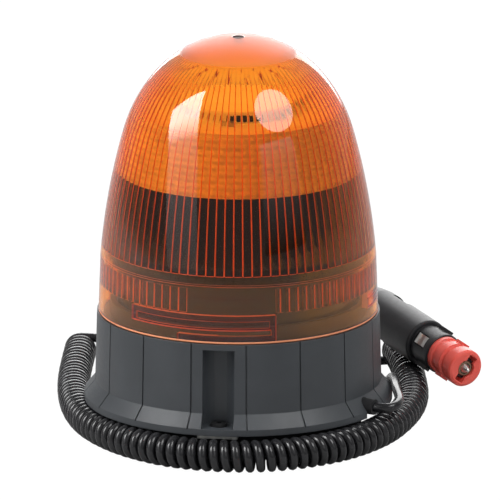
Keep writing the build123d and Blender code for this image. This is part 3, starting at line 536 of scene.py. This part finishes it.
def soft_line(name, points):
    """An open NURBS spline of order 3 through its end points, bent towards the points between."""
    curve = bpy.data.curves.new(name, "CURVE")
    curve.dimensions = "3D"
    spline = curve.splines.new("NURBS")
    spline.points.add(len(points) - 1)
    spline.points.foreach_set("co", np.hstack([points, np.ones((len(points), 1))]).ravel())
    spline.order_u = 3
    spline.use_endpoint_u = True
    piece = bpy.data.objects.new(name, curve)
    scene.collection.objects.link(piece)
    return piece


def line_points(piece):
    """The points of a curve without a bevel, in order."""
    mesh = bpy.data.meshes.new_from_object(piece)
    points = np.empty(len(mesh.vertices) * 3)
    mesh.vertices.foreach_get("co", points)
    return points.reshape(-1, 3)


coil_line = soft_line("coil_line", np.array(coil_route))
coil_line.data.resolution_u = 24
centre = line_points(coil_line)
bpy.data.objects.remove(coil_line)
run = np.concatenate([[0], np.cumsum(np.linalg.norm(np.diff(centre, axis=0), axis=1))])
phase = np.arange(0, int(coil_turns * helix_points) + 1) * (2 * np.pi / helix_points)
along = phase / phase[-1] * run[-1]
spot = np.stack([np.interp(along, run, centre[:, i]) for i in range(3)], axis=-1)
ahead = np.gradient(spot, axis=0)
ahead /= np.linalg.norm(ahead, axis=1, keepdims=True)
sideways = np.cross([0, 0, 1], ahead)
upright = np.array([[0, 0, 1.0]])
# a spline of order 3 runs inside its points, so the points stand out by its mean shortfall
reach = coil_ring / (0.75 + 0.25 * cos(2 * np.pi / helix_points))
helix = spot + reach * (np.sin(phase)[:, None] * sideways - np.cos(phase)[:, None] * upright)
cord_points = np.vstack([base_lead_route, helix, plug_lead_route])
flex = soft_line("flex_cord", cord_points)
flex.data.resolution_u = 3
flex.data.bevel_depth = cable / 2
flex.data.bevel_resolution = 3
flex.data.use_fill_caps = True

sheath = Finish("cord_sheath", Specular_IOR_Level=0.5)
sheath.put("Base Color", sheath.ramp(
    sheath.noise(120), (0.3, (0.008, 0.008, 0.009)), (0.8, (0.018, 0.018, 0.02))))
sheath.put("Roughness", sheath.span(sheath.noise(400), 0.15, 0.25))
sheath.bump(sheath.noise(1400), 0.00003)
flex.data.materials.append(sheath.material)
dress(sheath, "cord_tail")

# Plug. A vehicle socket plug: a ribbed boot and a long grip, a barrel with two sprung side
# contacts, and a red adapter sleeve pushed over the black nose with its sprung tip.
plug_black = Finish("plug_moulding", Specular_IOR_Level=0.5)
plug_black.put("Base Color", plug_black.ramp(
    plug_black.noise(90), (0.3, (0.014, 0.014, 0.016)), (0.8, (0.026, 0.026, 0.029))))
plug_black.put("Roughness", plug_black.span(plug_black.noise(500), 0.36, 0.5))
plug_black.bump(plug_black.noise(2600), 0.00003, normal=plug_black.soft_edges(0.0005))
dress(plug_black, "plug_body", "plug_barrel", "plug_nose")

sleeve_red = Finish("adapter_red", Specular_IOR_Level=0.5, Subsurface_Weight=0.15, Subsurface_Scale=0.002)
sleeve_red.put("Base Color", sleeve_red.ramp(
    sleeve_red.noise(150), (0.3, (0.72, 0.085, 0.062)), (0.8, (0.82, 0.125, 0.095))))
sleeve_red.put("Roughness", sleeve_red.span(sleeve_red.noise(500), 0.24, 0.38))
sleeve_red.bump(sleeve_red.noise(1500), 0.00002, normal=sleeve_red.soft_edges(0.0004))
dress(sleeve_red, "adapter_sleeve")

nickel = Finish("nickel_plate", Metallic=1.0)
nickel.put("Base Color", nickel.ramp(
    nickel.noise(300), (0.25, (0.74, 0.73, 0.70)), (0.8, (0.9, 0.89, 0.86))))
nickel.put("Roughness", nickel.span(nickel.noise(1200), 0.22, 0.4))
nickel.bump(nickel.noise(2200, stretch=(1, 1, 5)), 0.00001, normal=nickel.soft_edges(0.0002))
dress(nickel, "contact_tip", "contact_near", "contact_far", "tip_spring")

worn_brass = Finish("worn_brass", Metallic=1.0)
worn_brass.put("Base Color", worn_brass.ramp(
    worn_brass.noise(400), (0.25, (0.24, 0.16, 0.11)), (0.8, (0.42, 0.30, 0.20))))
worn_brass.put("Roughness", worn_brass.span(worn_brass.noise(1200), 0.3, 0.45))
dress(worn_brass, "nose_ring")

fuse_glass = Finish("fuse_glass", Base_Color=(0.94, 0.97, 0.96), Transmission_Weight=1.0, IOR=1.5)
fuse_glass.put("Roughness", fuse_glass.span(fuse_glass.noise(300), 0.02, 0.06))
dress(fuse_glass, "fuse")

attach(flex, "base")
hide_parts("cord_lead_base", "cord_coil", "cord_lead_plug")

# Studio. White paper under a pale back wall, a tall soft box that leans in from the left, an umbrella
# and a low panel on the right, and a panel behind and overhead. The front of the room is darker.
square = [(-1, -1), (1, -1), (1, 1), (-1, 1)]
floor_reach = 3
floor_drop = 0.0002
floor_mesh = bpy.data.meshes.new("studio_floor")
floor_mesh.from_pydata([(floor_reach * x, floor_reach * y, -floor_drop) for x, y in square], [], [range(4)])
floor = bpy.data.objects.new("studio_floor", floor_mesh)
scene.collection.objects.link(floor)
paper = Finish("floor_paper", Roughness=0.9, Base_Color=(0.36, 0.36, 0.36))


def share_in(shade, vector, direction):
    """A vector's share in a direction: their dot product."""
    return shade.node(
        "ShaderNodeVectorMath", {"operation": "DOT_PRODUCT"}, {0: vector, 1: direction}, output="Value")


def towards(shade, vector, direction, low, high, dark=0.0, bright=1.0):
    """A smooth step from dark to bright as a vector's share in a direction goes from low to high."""
    return shade.node("ShaderNodeMapRange", {"interpolation_type": "SMOOTHSTEP"}, {
        "Value": share_in(shade, vector, direction),
        "From Min": low, "From Max": high, "To Min": dark, "To Max": bright})


# the paper shows white to the camera, and behind the lamp also through the lens
white = paper.node("ShaderNodeEmission", inputs={"Color": (1, 1, 1, 1), "Strength": 1.1})
through = ray(paper, "Is Transmission Ray") * towards(paper, paper.here, (0.5, 0.87, 0), -0.12, 0.1)
paper.give_way(ray(paper, "Is Camera Ray") * 0.9 + through, white)
floor_mesh.materials.append(paper.material)

world = bpy.data.worlds.new("studio")
world.use_nodes = True
scene.world = world
sky = Shade(world.node_tree)
compass = sky.node("ShaderNodeTexCoord", output="Generated")
seen_through = ray(sky, "Is Transmission Ray")
mirrored = ray(sky, "Is Glossy Ray") - seen_through
plain = ray(sky, "Is Diffuse Ray")
back_wall = towards(sky, compass, (0, 1, 0), 0.2, 1.0, 0.25, 0.6)
strength = mirrored * back_wall + seen_through * towards(sky, compass, (0, 1, 0), -0.1, 0.3, 0.05, 1.0)
strength = strength + plain * 0.75 + (1 - mirrored - seen_through - plain)
sky.tree.links.new(strength.socket, world.node_tree.nodes["Background"].inputs["Strength"])
world.node_tree.nodes["Background"].inputs["Color"].default_value = (1, 1, 1, 1)


def lit_sheet(name, outline, centre, across, up, strength, *stops):
    """A sheet that glows on both sides. The stops give its grey from the low edge to the high one."""
    across, up = Vector(across) / 2, Vector(up) / 2
    corners = [Vector(centre) + x * across + y * up for x, y in outline]
    mesh = bpy.data.meshes.new(name)
    mesh.from_pydata(corners, [], [range(len(corners))])
    sheet = bpy.data.objects.new(name, mesh)
    scene.collection.objects.link(sheet)
    glow = Finish(name, Base_Color=(0, 0, 0), Specular_IOR_Level=0.0, Emission_Strength=strength)
    scale = 1 / up.length_squared
    middle = Vector(centre).dot(up) * scale
    height = glow.node("ShaderNodeMapRange", inputs={
        "Value": share_in(glow, glow.here, up * scale), "From Min": middle - 1, "From Max": middle + 1})
    glow.put("Emission Color", glow.ramp(height, *[(at, (grey,) * 3) for at, grey in stops]))
    mesh.materials.append(glow.material)
    sheet.visible_camera = sheet.visible_transmission = sheet.visible_shadow = False


disc_sides = 48
disc = [(cos(2 * np.pi * i / disc_sides), sin(2 * np.pi * i / disc_sides)) for i in range(disc_sides)]
lit_sheet("tall_box", square, (-0.811, -0.669, 0.428), (0.629, -0.105, 0.193), (0.06, 0.924, 1.075),
          12.0, (0.0, 0.04), (0.35, 0.08), (0.6, 0.18), (0.8, 1.0))
lit_sheet("umbrella", disc, (0.675, -0.374, 1.02), (0.39, 0.69, 0.0), (-0.40, 0.23, 0.5),
          6.0, (0.0, 0.8), (0.6, 1.0))
lit_sheet("right_panel", square, (0.85, -0.75, 0.42), (0.5, 0.55, 0.0), (0.0, 0.0, 0.62),
          1.3, (0.0, 0.05), (1.0, 1.0))
lit_sheet("back_panel", square, (-0.15, 1.5, 0.95), (1.2, 0.0, 0.0), (0.0, -0.4, 1.8),
          3.4, (0.0, 1.0), (0.7, 1.0), (1.0, 0.3))
